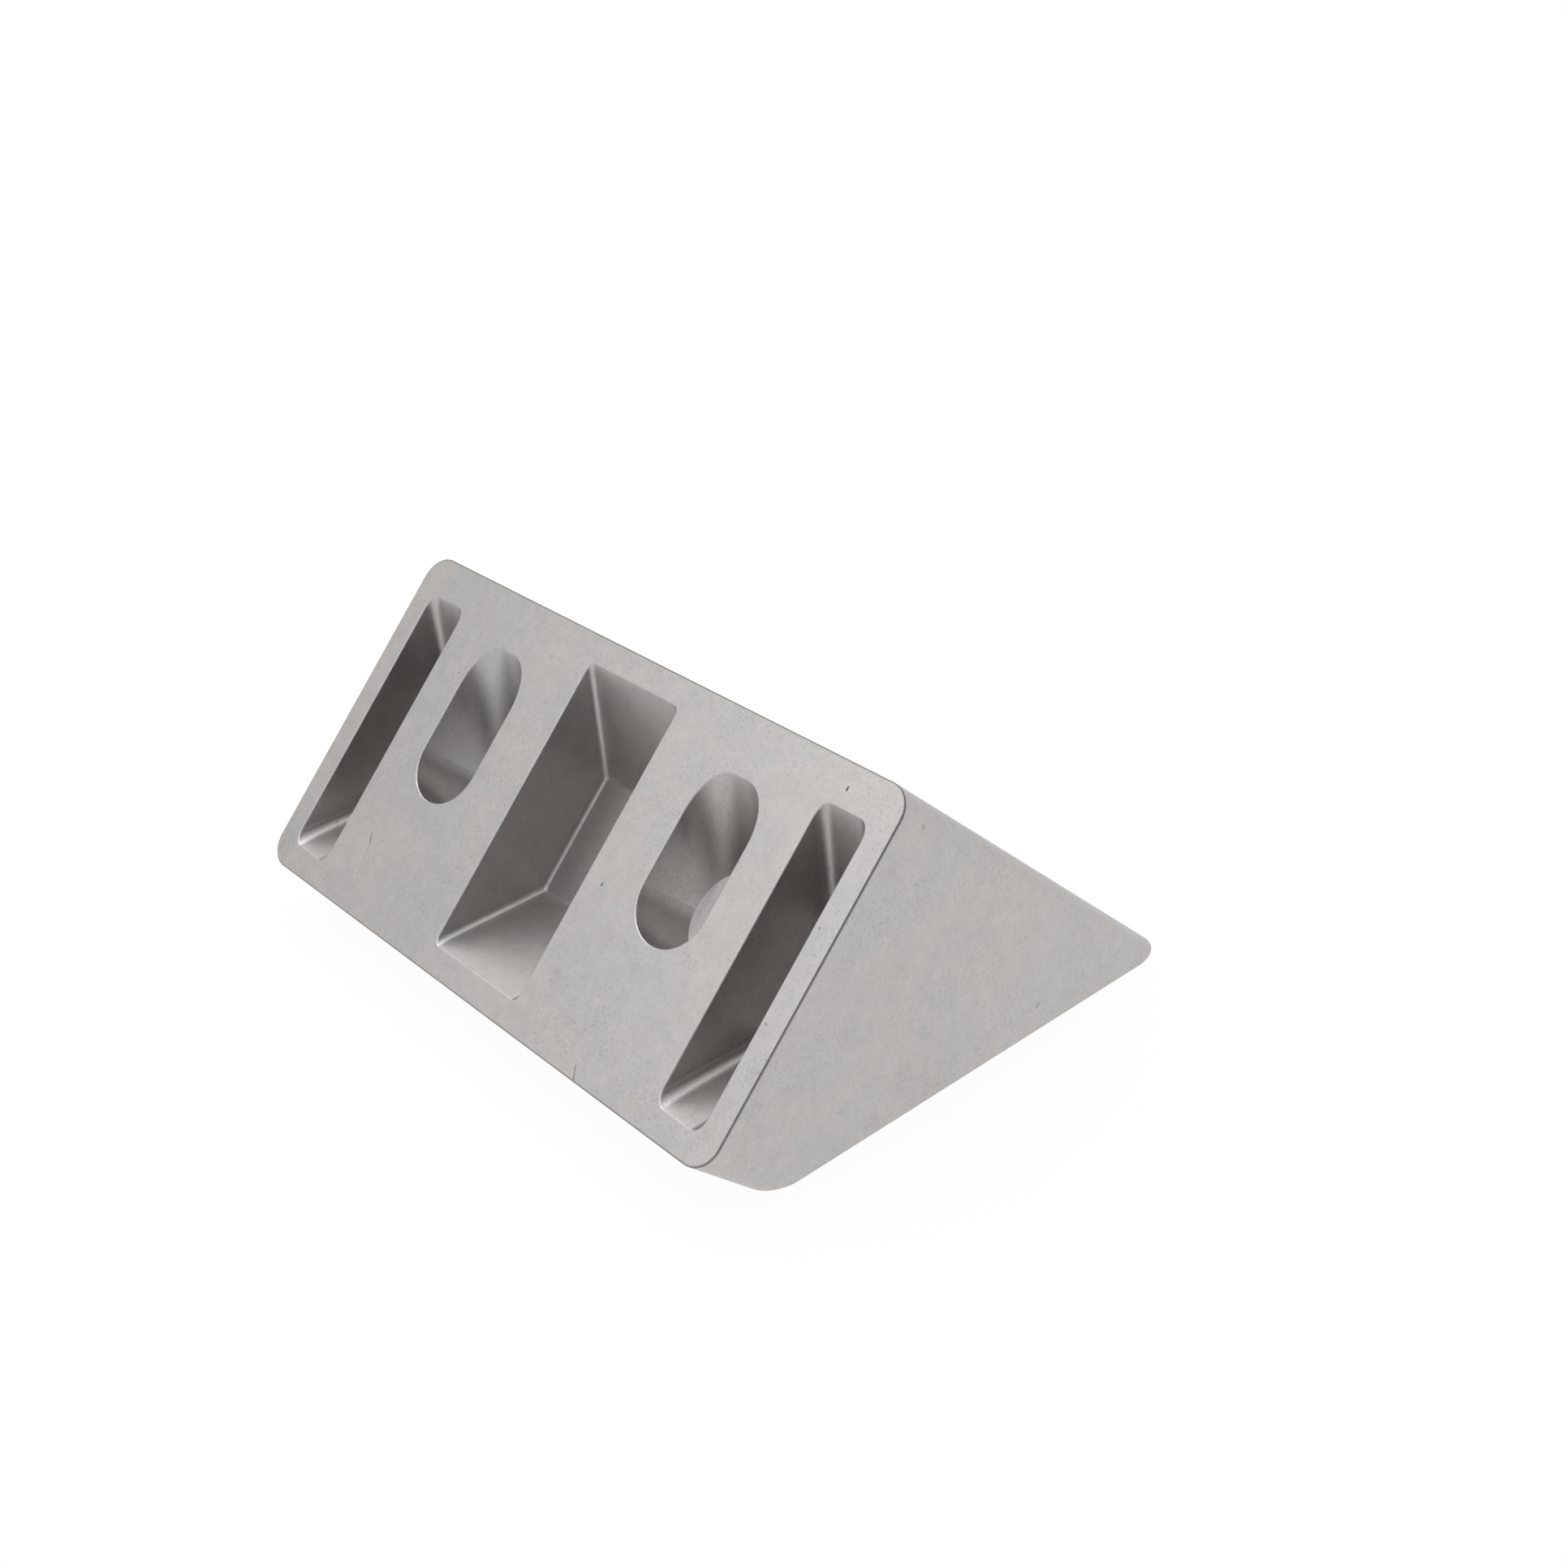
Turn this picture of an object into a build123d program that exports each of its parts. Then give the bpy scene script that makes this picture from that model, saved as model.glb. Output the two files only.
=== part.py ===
"""45 degree end bracket for a double-width T-slot rail, one die-cast aluminium wedge.

The flat underside lies on the side of one rail. The tilted end face closes the cut end of another rail,
which meets the first at the mitre angle. X runs along the width, Z points up from the underside, and the
origin is the centre of the underside. The die opens along Z, so each recess is open that way.
"""
import os
from math import cos, radians, sin, tan

from build123d import *

# Rail grid, millimetres
rail_module = 40.0  # height of the end face, spacing of the screws and half the width of the bracket
mitre_angle = 45.0  # degrees, between the end face and the underside

# Body
toe_depth = 10.0  # thickness of the body below the end face
corner_radius = 3.0  # long corners of the rounded body
edge_radius = 0.2  # eased outlines of the end face and the underside
mouth_radius = 0.15  # rims of the openings in the end face
rim_chamfer = 0.15  # rims of the openings elsewhere

# Pockets in the end face
pocket_depth = 10.0
rim = 3.0  # wall left round the pockets
end_pocket_rim = 4.4  # wall above the two end pockets, which lie beside the body's rounded corners
middle_land = 12.5  # from a screw axis to the middle pocket
outer_land = 10.5  # from a screw axis to an end pocket
middle_pocket_radius = 0.75
end_pocket_radius = 1.25
floor_radius = 0.5  # round the floors of the pockets

# End screws, square to the end face
slot_width = 9.5
slot_rim = 6.25  # wall above a slot
slot_corner_radius = 3.8  # upper corners of a slot
seat_depth = 8.5  # metal clamped under the head of an end screw
head_room = 8.0  # from a screw axis to the walls beside its head

# Rail screws, square to the underside
rail_hole = 9.0
rail_counterbore = 15.0
rail_seat = 6.0  # metal clamped under the head of a rail screw
rail_lip = 0.5  # lowest part of a counterbore's wall, towards the thin edge of the body

# Hollow underside
shell = 3.0  # walls left at the sides, under the top and behind the pockets
middle_rib = 3.0
boss_wall = 2.5  # round a counterbore
thin_edge_stock = 8.0  # solid metal along the thin edge
core_radius = 2.0  # upright corners of the hollows and of the head pockets

# Planes and places that follow from the sizes
lean = radians(mitre_angle)
body_length = toe_depth + rail_module * tan(lean)
draw = 2 * body_length  # height of the cores, which reach out of the body
screw_x = rail_module / 2
thin_edge_y = rail_module / cos(lean) / 2
rail_screw_y = thin_edge_y - (rail_seat + rail_lip) * tan(lean) - rail_counterbore / 2

end_plane = Plane(origin=(0, 0, 0), x_dir=(1, 0, 0), z_dir=(0, -sin(lean), cos(lean)))
end_plane = end_plane.offset(toe_depth + rail_module / 2 * tan(lean))
end_axis = Axis(end_plane.origin, end_plane.z_dir)
seat_plane = end_plane.offset(-seat_depth)
shell_plane = end_plane.offset(-pocket_depth - shell)
top_plane = Plane(origin=end_plane.from_local_coords((0, rail_module / 2, 0)), z_dir=end_plane.y_dir)


def below_top_edge(drop):
    """Point of the end face on the plane of symmetry, at a distance below its upper edge."""
    return end_plane.from_local_coords((0, rail_module / 2 - drop, 0))


def pocket_core(width, upper_rim, radius):
    """Core of a pocket: an upright back wall, a level ledge and a floor along the end face."""
    with BuildPart() as core:
        with BuildSketch(Plane.XY.offset(below_top_edge(rail_module - rim).Z)):
            with Locations((0, below_top_edge(upper_rim).Y)):
                Rectangle(width, draw, align=(Align.CENTER, Align.MAX))
        extrude(amount=draw)
        split(bisect_by=end_plane.offset(-pocket_depth), keep=Keep.TOP)
        fillet(core.edges().filter_by(Axis.Y) + core.edges().filter_by(Axis.Z).group_by(Axis.Y)[-1], radius)
        floor = core.faces().filter_by(end_plane).sort_by(end_axis)[0]
        fillet(floor.edges(), floor_radius)
    return core.part


middle_core = pocket_core(2 * (screw_x - middle_land), rim, middle_pocket_radius)
end_core_width = rail_module - screw_x - outer_land - rim
end_core_x = screw_x + outer_land + end_core_width / 2
end_core = pocket_core(end_core_width, end_pocket_rim, end_pocket_radius)

# Slot for an end screw: round below along the screw, upright above where the core draws
with BuildPart() as slot_core:
    with BuildSketch(end_plane):
        Circle(slot_width / 2)
        Rectangle(slot_width, draw, align=(Align.CENTER, Align.MIN))
    extrude(amount=-seat_depth)
    extrude(slot_core.faces().sort_by(end_axis)[-1], amount=draw)
    with BuildSketch() as slot_plan:
        with Locations((0, below_top_edge(slot_rim).Y)):
            Rectangle(slot_width, draw, align=(Align.CENTER, Align.MAX))
        fillet(slot_plan.vertices().group_by(Axis.Y)[-1], slot_corner_radius)
    extrude(amount=draw, mode=Mode.INTERSECT)

# Pocket for the head of an end screw, with its seat square to the screw. It opens into a hollow below.
head_front = seat_plane.from_local_coords((0, -head_room, 0)).Y
head_back = shell_plane.from_local_coords((0, head_room, 0)).Y + core_radius
roof_start = end_plane.from_local_coords((0, head_room, 0))
roof_plane = Plane(origin=roof_start, x_dir=(1, 0, 0), z_dir=end_plane.y_dir)
with BuildPart() as head_core:
    with BuildSketch():
        with Locations((0, head_front)):
            head_length = head_back - head_front
            RectangleRounded(2 * head_room, head_length, core_radius, align=(Align.CENTER, Align.MIN))
    extrude(amount=draw)
    split(bisect_by=seat_plane, keep=Keep.BOTTOM)
    split(bisect_by=roof_plane, keep=Keep.BOTTOM)

# Metal left over that pocket, from the seat of the end screw back to the boss of the rail screw
with BuildPart() as roof:
    with BuildSketch(Plane.XY.offset(rail_seat)):
        Rectangle(2 * head_room, draw)
    extrude(amount=draw)
    split(bisect_by=roof_plane, keep=Keep.TOP)

# Two hollows open to the underside, either side of the middle rib, each round a boss for a rail screw
boss_width = rail_counterbore + 2 * boss_wall
hollow_width = rail_module - shell - middle_rib / 2
hollow_length = thin_edge_y - thin_edge_stock - head_front
with BuildPart() as hollow_cores:
    with BuildSketch() as hollow_plan:
        with Locations((middle_rib / 2, head_front)):
            Rectangle(hollow_width, hollow_length, align=(Align.MIN, Align.MIN))
        with Locations((screw_x, rail_screw_y)):
            Circle(boss_width / 2, mode=Mode.SUBTRACT)
            Rectangle(boss_width, draw, align=(Align.CENTER, Align.MIN), mode=Mode.SUBTRACT)
        rows = hollow_plan.vertices().group_by(Axis.Y)
        fillet(rows[0] + rows[-1], core_radius)
    extrude(amount=draw)
    split(bisect_by=shell_plane, keep=Keep.BOTTOM)
    split(bisect_by=top_plane.offset(-shell), keep=Keep.BOTTOM)
    with Locations((screw_x, 0)):
        add(roof.part, mode=Mode.SUBTRACT)
    mirror(about=Plane.YZ)

with BuildPart() as bracket:
    with BuildSketch(end_plane):
        RectangleRounded(2 * rail_module, rail_module, corner_radius)
    extrude(amount=-body_length)
    split(bisect_by=Plane.XY, keep=Keep.TOP)
    underside = bracket.faces().sort_by(Axis.Z)[0]
    fillet(underside.edges(), edge_radius)

    add(middle_core, mode=Mode.SUBTRACT)
    with Locations((-end_core_x, 0), (end_core_x, 0)):
        add(end_core, mode=Mode.SUBTRACT)
    with Locations((-screw_x, 0), (screw_x, 0)):
        add(slot_core.part, mode=Mode.SUBTRACT)
        add(head_core.part, mode=Mode.SUBTRACT)
    add(hollow_cores.part, mode=Mode.SUBTRACT)

    with Locations((-screw_x, rail_screw_y, draw), (screw_x, rail_screw_y, draw)):
        CounterBoreHole(rail_hole / 2, rail_counterbore / 2, draw - rail_seat, draw)

    end_face = bracket.faces().filter_by(end_plane).sort_by(end_axis)[-1]
    fillet(end_face.outer_wire().edges(), edge_radius)
    end_face = bracket.faces().filter_by(end_plane).sort_by(end_axis)[-1]
    fillet(end_face.inner_wires().edges(), mouth_radius)

    for plane in (seat_plane, top_plane, Plane.XY):
        pierced = bracket.faces().filter_by(lambda face: face.is_planar and plane.contains(face.center()))
        chamfer([wire.edges() for face in pierced for wire in face.inner_wires()], rim_chamfer)

bracket.part.label = "bracket"
os.makedirs("parts", exist_ok=True)
export_step(bracket.part, "parts/bracket.step")
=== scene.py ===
import math

import bpy
from mathutils import Matrix, Vector


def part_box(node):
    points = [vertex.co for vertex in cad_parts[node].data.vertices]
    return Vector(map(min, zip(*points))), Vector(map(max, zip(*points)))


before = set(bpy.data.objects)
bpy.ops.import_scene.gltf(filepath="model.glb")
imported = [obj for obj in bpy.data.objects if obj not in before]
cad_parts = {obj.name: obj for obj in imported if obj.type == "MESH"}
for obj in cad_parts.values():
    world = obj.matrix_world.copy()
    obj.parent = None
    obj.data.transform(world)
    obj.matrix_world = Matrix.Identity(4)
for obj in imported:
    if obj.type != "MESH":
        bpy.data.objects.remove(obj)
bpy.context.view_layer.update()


# Camera. It stands in front of the tilted end face and to its right, a little above it, and leans over
# slightly, so that the end face, its recesses and the right side are all in view.
camera_place = (0.16584, -0.12161, 0.13736)
camera_azimuth = math.radians(51.694)  # from straight in front towards the right
camera_elevation = math.radians(30.476)
camera_lean = math.radians(-4.791)

camera = bpy.data.objects.new("camera", bpy.data.cameras.new("camera"))
camera.data.lens = 50
camera.data.sensor_width = 36
camera.data.clip_start = 0.01
aim = Matrix.Rotation(camera_azimuth, 4, "Z") @ Matrix.Rotation(math.pi / 2 - camera_elevation, 4, "X")
camera.matrix_world = Matrix.Translation(camera_place) @ aim @ Matrix.Rotation(camera_lean, 4, "Z")
bpy.context.scene.collection.objects.link(camera)
bpy.context.scene.camera = camera
bpy.context.scene.view_settings.view_transform = "Standard"


# Table. The bracket rests with its flat underside on a plain white table top, which carries its soft
# shadow and is what the lower half of the metal mirrors.
table_radius = 5.0
table_sides = 64
table_paint = (0.94, 0.94, 0.94, 1)
table_glow = 0.95  # share of the white that no shadow takes away


class Wire:
    """A socket in a node tree. Arithmetic on it adds Math nodes, and node() adds a node of any type."""

    def __init__(self, tree, socket=None):
        self.tree = tree
        self.socket = socket

    def node(self, kind, settings, inputs, output=0):
        made = self.tree.nodes.new("ShaderNode" + kind)
        for name, value in settings.items():
            setattr(made, name, value)
        for name, value in inputs.items():
            if isinstance(value, Wire):
                self.tree.links.new(value.socket, made.inputs[name])
            else:
                made.inputs[name].default_value = value
        return Wire(self.tree, made.outputs[output] if made.outputs else None)

    def math(self, operation, *values):
        return self.node("Math", {"operation": operation}, dict(enumerate(values)))

    def vector(self, operation, *values):
        output = "Value" if operation in ("DOT_PRODUCT", "LENGTH", "DISTANCE") else "Vector"
        return self.node("VectorMath", {"operation": operation}, dict(enumerate(values)), output)

    def __add__(self, other):
        return self.math("ADD", self, other)

    def __sub__(self, other):
        return self.math("SUBTRACT", self, other)

    def __rsub__(self, other):
        return self.math("SUBTRACT", other, self)

    def __mul__(self, other):
        return self.math("MULTIPLY", self, other)

    __radd__ = __add__
    __rmul__ = __mul__


def node_tree(owner):
    """An empty node tree on a material or a world."""
    owner.use_nodes = True
    owner.node_tree.nodes.clear()
    return Wire(owner.node_tree)


turns = [2 * math.pi * i / table_sides for i in range(table_sides)]
rim = [(table_radius * math.cos(turn), table_radius * math.sin(turn), 0) for turn in turns]
table_mesh = bpy.data.meshes.new("table")
table_mesh.from_pydata(rim, [], [range(table_sides)])
table = bpy.data.objects.new("table", table_mesh)
bpy.context.scene.collection.objects.link(table)

table_white = bpy.data.materials.new("table_white")
tree = node_tree(table_white)
camera_ray, glossy_ray, clear_ray = (
    tree.node("LightPath", {}, {}, f"Is {kind} Ray") for kind in ("Camera", "Glossy", "Transmission")
)
painted = tree.node("BsdfDiffuse", {}, {"Color": table_paint})
glowing = tree.node("Emission", {}, {"Color": (1, 1, 1, 1), "Strength": 1.0})
seen = (camera_ray + glossy_ray + clear_ray) * table_glow
surface = tree.node("MixShader", {}, {"Fac": seen, 1: painted, 2: glowing})
tree.node("OutputMaterial", {}, {"Surface": surface})
table_mesh.materials.append(table_white)


# Studio. A low white wall runs right round the table. Over it is a dim room with four softboxes: a strong
# one high on the left, two in front that light the end face, and a weak one that fills in the back.
wall_start = 5  # degrees above the table, where the wall starts to give way to the room
wall_end = 15  # and where it has given way
room_level = 0.20
softboxes = (  # azimuth and elevation in degrees, tightness, strength at the middle
    (-120, 65, 8.0, 2.20),
    (-30, 45, 8.0, 1.30),
    (0, 65, 8.0, 0.65),
    (120, 50, 4.0, 0.45),
)


def step(wire, start, end):
    """A smooth step from 0 to 1 between two values; the start may be the higher one."""
    return wire.node(
        "MapRange", {"interpolation_type": "SMOOTHSTEP"},
        {"Value": wire, "From Min": start, "From Max": end, "To Min": 0.0, "To Max": 1.0},
    )


studio = bpy.data.worlds.new("studio")
bpy.context.scene.world = studio
tree = node_tree(studio)
towards = tree.node("TexCoord", {}, {}, "Generated")
light = room_level
for azimuth, elevation, tightness, strength in softboxes:
    a, e = math.radians(azimuth), math.radians(elevation)
    middle = (math.sin(a) * math.cos(e), -math.cos(a) * math.cos(e), math.sin(e))
    facing = tree.vector("DOT_PRODUCT", towards, middle)
    light = light + strength * tree.math("EXPONENT", (facing - 1) * tightness)
rise = tree.node("SeparateXYZ", {}, {"Vector": towards}, "Z")
wall = step(rise, math.sin(math.radians(wall_end)), math.sin(math.radians(wall_start)))
surface = tree.node("Background", {}, {"Color": (1, 1, 1, 1), "Strength": wall + (1 - wall) * light})
tree.node("OutputWorld", {}, {"Surface": surface})


# Bracket. One aluminium die casting, blasted to a satin finish. Its grey drifts between a greenish and a
# pinkish cast, and fine dark grain gathers in patches. A painted dark reflection darkens the eased outline
# of the end face. Handling has left a few small nicks.
mm = 0.001
cast_green = (0.484, 0.479, 0.468, 1)
cast_pink = (0.512, 0.485, 0.473, 1)
cast_roughness = 0.40
roughness_drift = 0.10  # over the clouds of the casting's grey
speck_roughness = 0.06
pit_roughness = 0.10
relief_depth = 0.01  # mm, of the grain and the pits
nick_depth = 4  # times as deep

cast_brightness = 1.01  # and how far each kind of mark changes it:
mottle_strength = 0.48
grain_strength = 0.14  # twice that in the patches
speck_strength = 0.14
pit_strength = 0.20
pit_spacing = 0.85  # mm
# the last is a painted dark reflection along the eased outline of the end face, not a mark of the casting
outline_reflection_strength = 0.55

face_lean = math.radians(45)  # between the end face and the underside
face_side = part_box("bracket")[1].x / mm  # mm, from the middle of the end face across to its side
face_top = face_side / 2  # and up to its top
face_corner_radius = 3
toe_depth = 10  # thickness of the body under the lower edge of the end face
face_distance = toe_depth + face_top * math.tan(face_lean)  # to its plane from the middle of the underside
# The darker line along the end face's outline is a painted dark reflection of the dim room in the eased
# edge:
outline_reflection_inside = (0.22, 0.10)  # mm in from the outline, where the darker line starts and where it is full
outline_reflection_below = (0.30, 0.18)  # the same, down from the end face

face_nicks = (  # start and end in mm across and up the end face, half width, share of the brightness left
    ((32.53, 17.31), (32.51, 17.65), 0.11, 0.20),
    ((10.15, -2.43), (10.14, -2.17), 0.11, 0.30),
    ((19.65, -19.70), (19.10, -18.63), 0.16, 0.70),
    ((-25.65, -11.31), (-25.22, -11.96), 0.22, 0.75),
    ((-25.22, -11.96), (-24.49, -16.06), 0.09, 0.88),
    ((37.69, 4.92), (37.67, 4.96), 0.15, 0.70),
    ((37.61, -5.11), (37.59, -5.07), 0.14, 0.65),
)
side_nicks = (  # the same on the right side, back and up from the middle of the underside
    ((8.13, 3.02), (8.50, 3.34), 0.12, 0.60),
    ((-6.31, 31.17), (-6.18, 31.72), 0.12, 0.50),
)

cast_metal = bpy.data.materials.new("cast_metal")
tree = node_tree(cast_metal)
place = tree.node("TexCoord", {}, {}, "Object")
place = tree.vector("DIVIDE", place, (mm, mm, mm))


def noise(size, detail, roughness=0.5, shift=0.0):
    """Noise from 0 to 1 with blobs of about that size in mm. A shift makes it another noise."""
    moved = tree.vector("ADD", place, (shift, shift, shift))
    return tree.node(
        "TexNoise", {}, {"Vector": moved, "Scale": 1 / size, "Detail": detail, "Roughness": roughness}
    )


def scratch(where, start, end, half_width):
    """1 along a short straight scratch and 0 away from it, with soft sides."""
    way = Vector(end) - Vector(start)
    offset = tree.vector("SUBTRACT", where, start)
    share = tree.vector("DOT_PRODUCT", offset, way / way.length_squared)
    share = tree.node("Clamp", {}, {"Value": share})
    distance = tree.vector("DISTANCE", offset, tree.vector("MULTIPLY", way, share))
    return step(distance, half_width * 1.4, half_width * 0.5)


clouds = noise(9.0, 6.0, roughness=0.65)
mottle = noise(2.0, 5.0, roughness=0.95, shift=31.0)
patches = step(noise(7.0, 4.0, roughness=0.6, shift=57.0), 0.42, 0.62)
grain = noise(0.22, 1.0, shift=11.0)
specks = step(noise(0.30, 1.0, shift=83.0), 0.58, 0.72) * patches
pits = step(tree.node("TexVoronoi", {}, {"Vector": place, "Scale": 1 / pit_spacing}), 0.14, 0.06)

# The end face's own directions: across it, up it and out of it. Past the middle of a rounded corner, the
# length left over reaches the corner's radius at the outline.
face_place = tree.node("Mapping", {}, {"Vector": place, "Rotation": (-face_lean, 0, 0)})
face_corner = (face_side - face_corner_radius, face_top - face_corner_radius, 0)
from_middle = tree.vector("ABSOLUTE", tree.vector("MULTIPLY", face_place, (1, 1, 0)))
past_corner = tree.vector("MAXIMUM", tree.vector("SUBTRACT", from_middle, face_corner), (0, 0, 0))
from_outline = face_corner_radius - tree.vector("LENGTH", past_corner)
below_face = face_distance - tree.node("SeparateXYZ", {}, {"Vector": face_place}, "Z")
# Painted dark reflection: a thin darker line along the eased outline of the end face, standing in for the
# edge mirroring the dim room.
painted_outline_reflection = step(from_outline, *outline_reflection_inside) * step(below_face, *outline_reflection_below)

shade = cast_brightness + mottle_strength * (mottle - 0.5) + grain_strength * (1 + patches) * (grain - 0.5)
shade = shade - speck_strength * specks - pit_strength * pits
# The painted dark reflection along the outline darkens the colour here.
shade = shade * (1 - outline_reflection_strength * painted_outline_reflection)

nicks = [
    (face_place, (*start, face_distance), (*end, face_distance), *rest)
    for start, end, *rest in face_nicks
] + [
    (place, (face_side, *start), (face_side, *end), *rest)
    for start, end, *rest in side_nicks
]
dent = 0
for where, start, end, half_width, left in nicks:
    nick = scratch(where, start, end, half_width)
    shade = shade * (1 - (1 - left) * nick)
    dent = dent + nick

pinkness = step(clouds, 0.35, 0.65)
colour = tree.node("Mix", {"data_type": "RGBA"}, {"Factor": pinkness, 6: cast_green, 7: cast_pink}, 2)
colour = tree.vector("MULTIPLY", colour, shade)
roughness = cast_roughness + roughness_drift * (clouds - 0.5)
roughness = roughness + speck_roughness * specks + pit_roughness * pits
relief = tree.node(
    "Bump", {},
    {"Strength": 0.5, "Distance": relief_depth * mm, "Height": grain - pits - nick_depth * dent},
)
surface = tree.node(
    "BsdfPrincipled", {}, {"Base Color": colour, "Metallic": 1.0, "Roughness": roughness, "Normal": relief}
)
tree.node("OutputMaterial", {}, {"Surface": surface})

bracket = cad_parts["bracket"]
bracket.data.materials.clear()
bracket.data.materials.append(cast_metal)
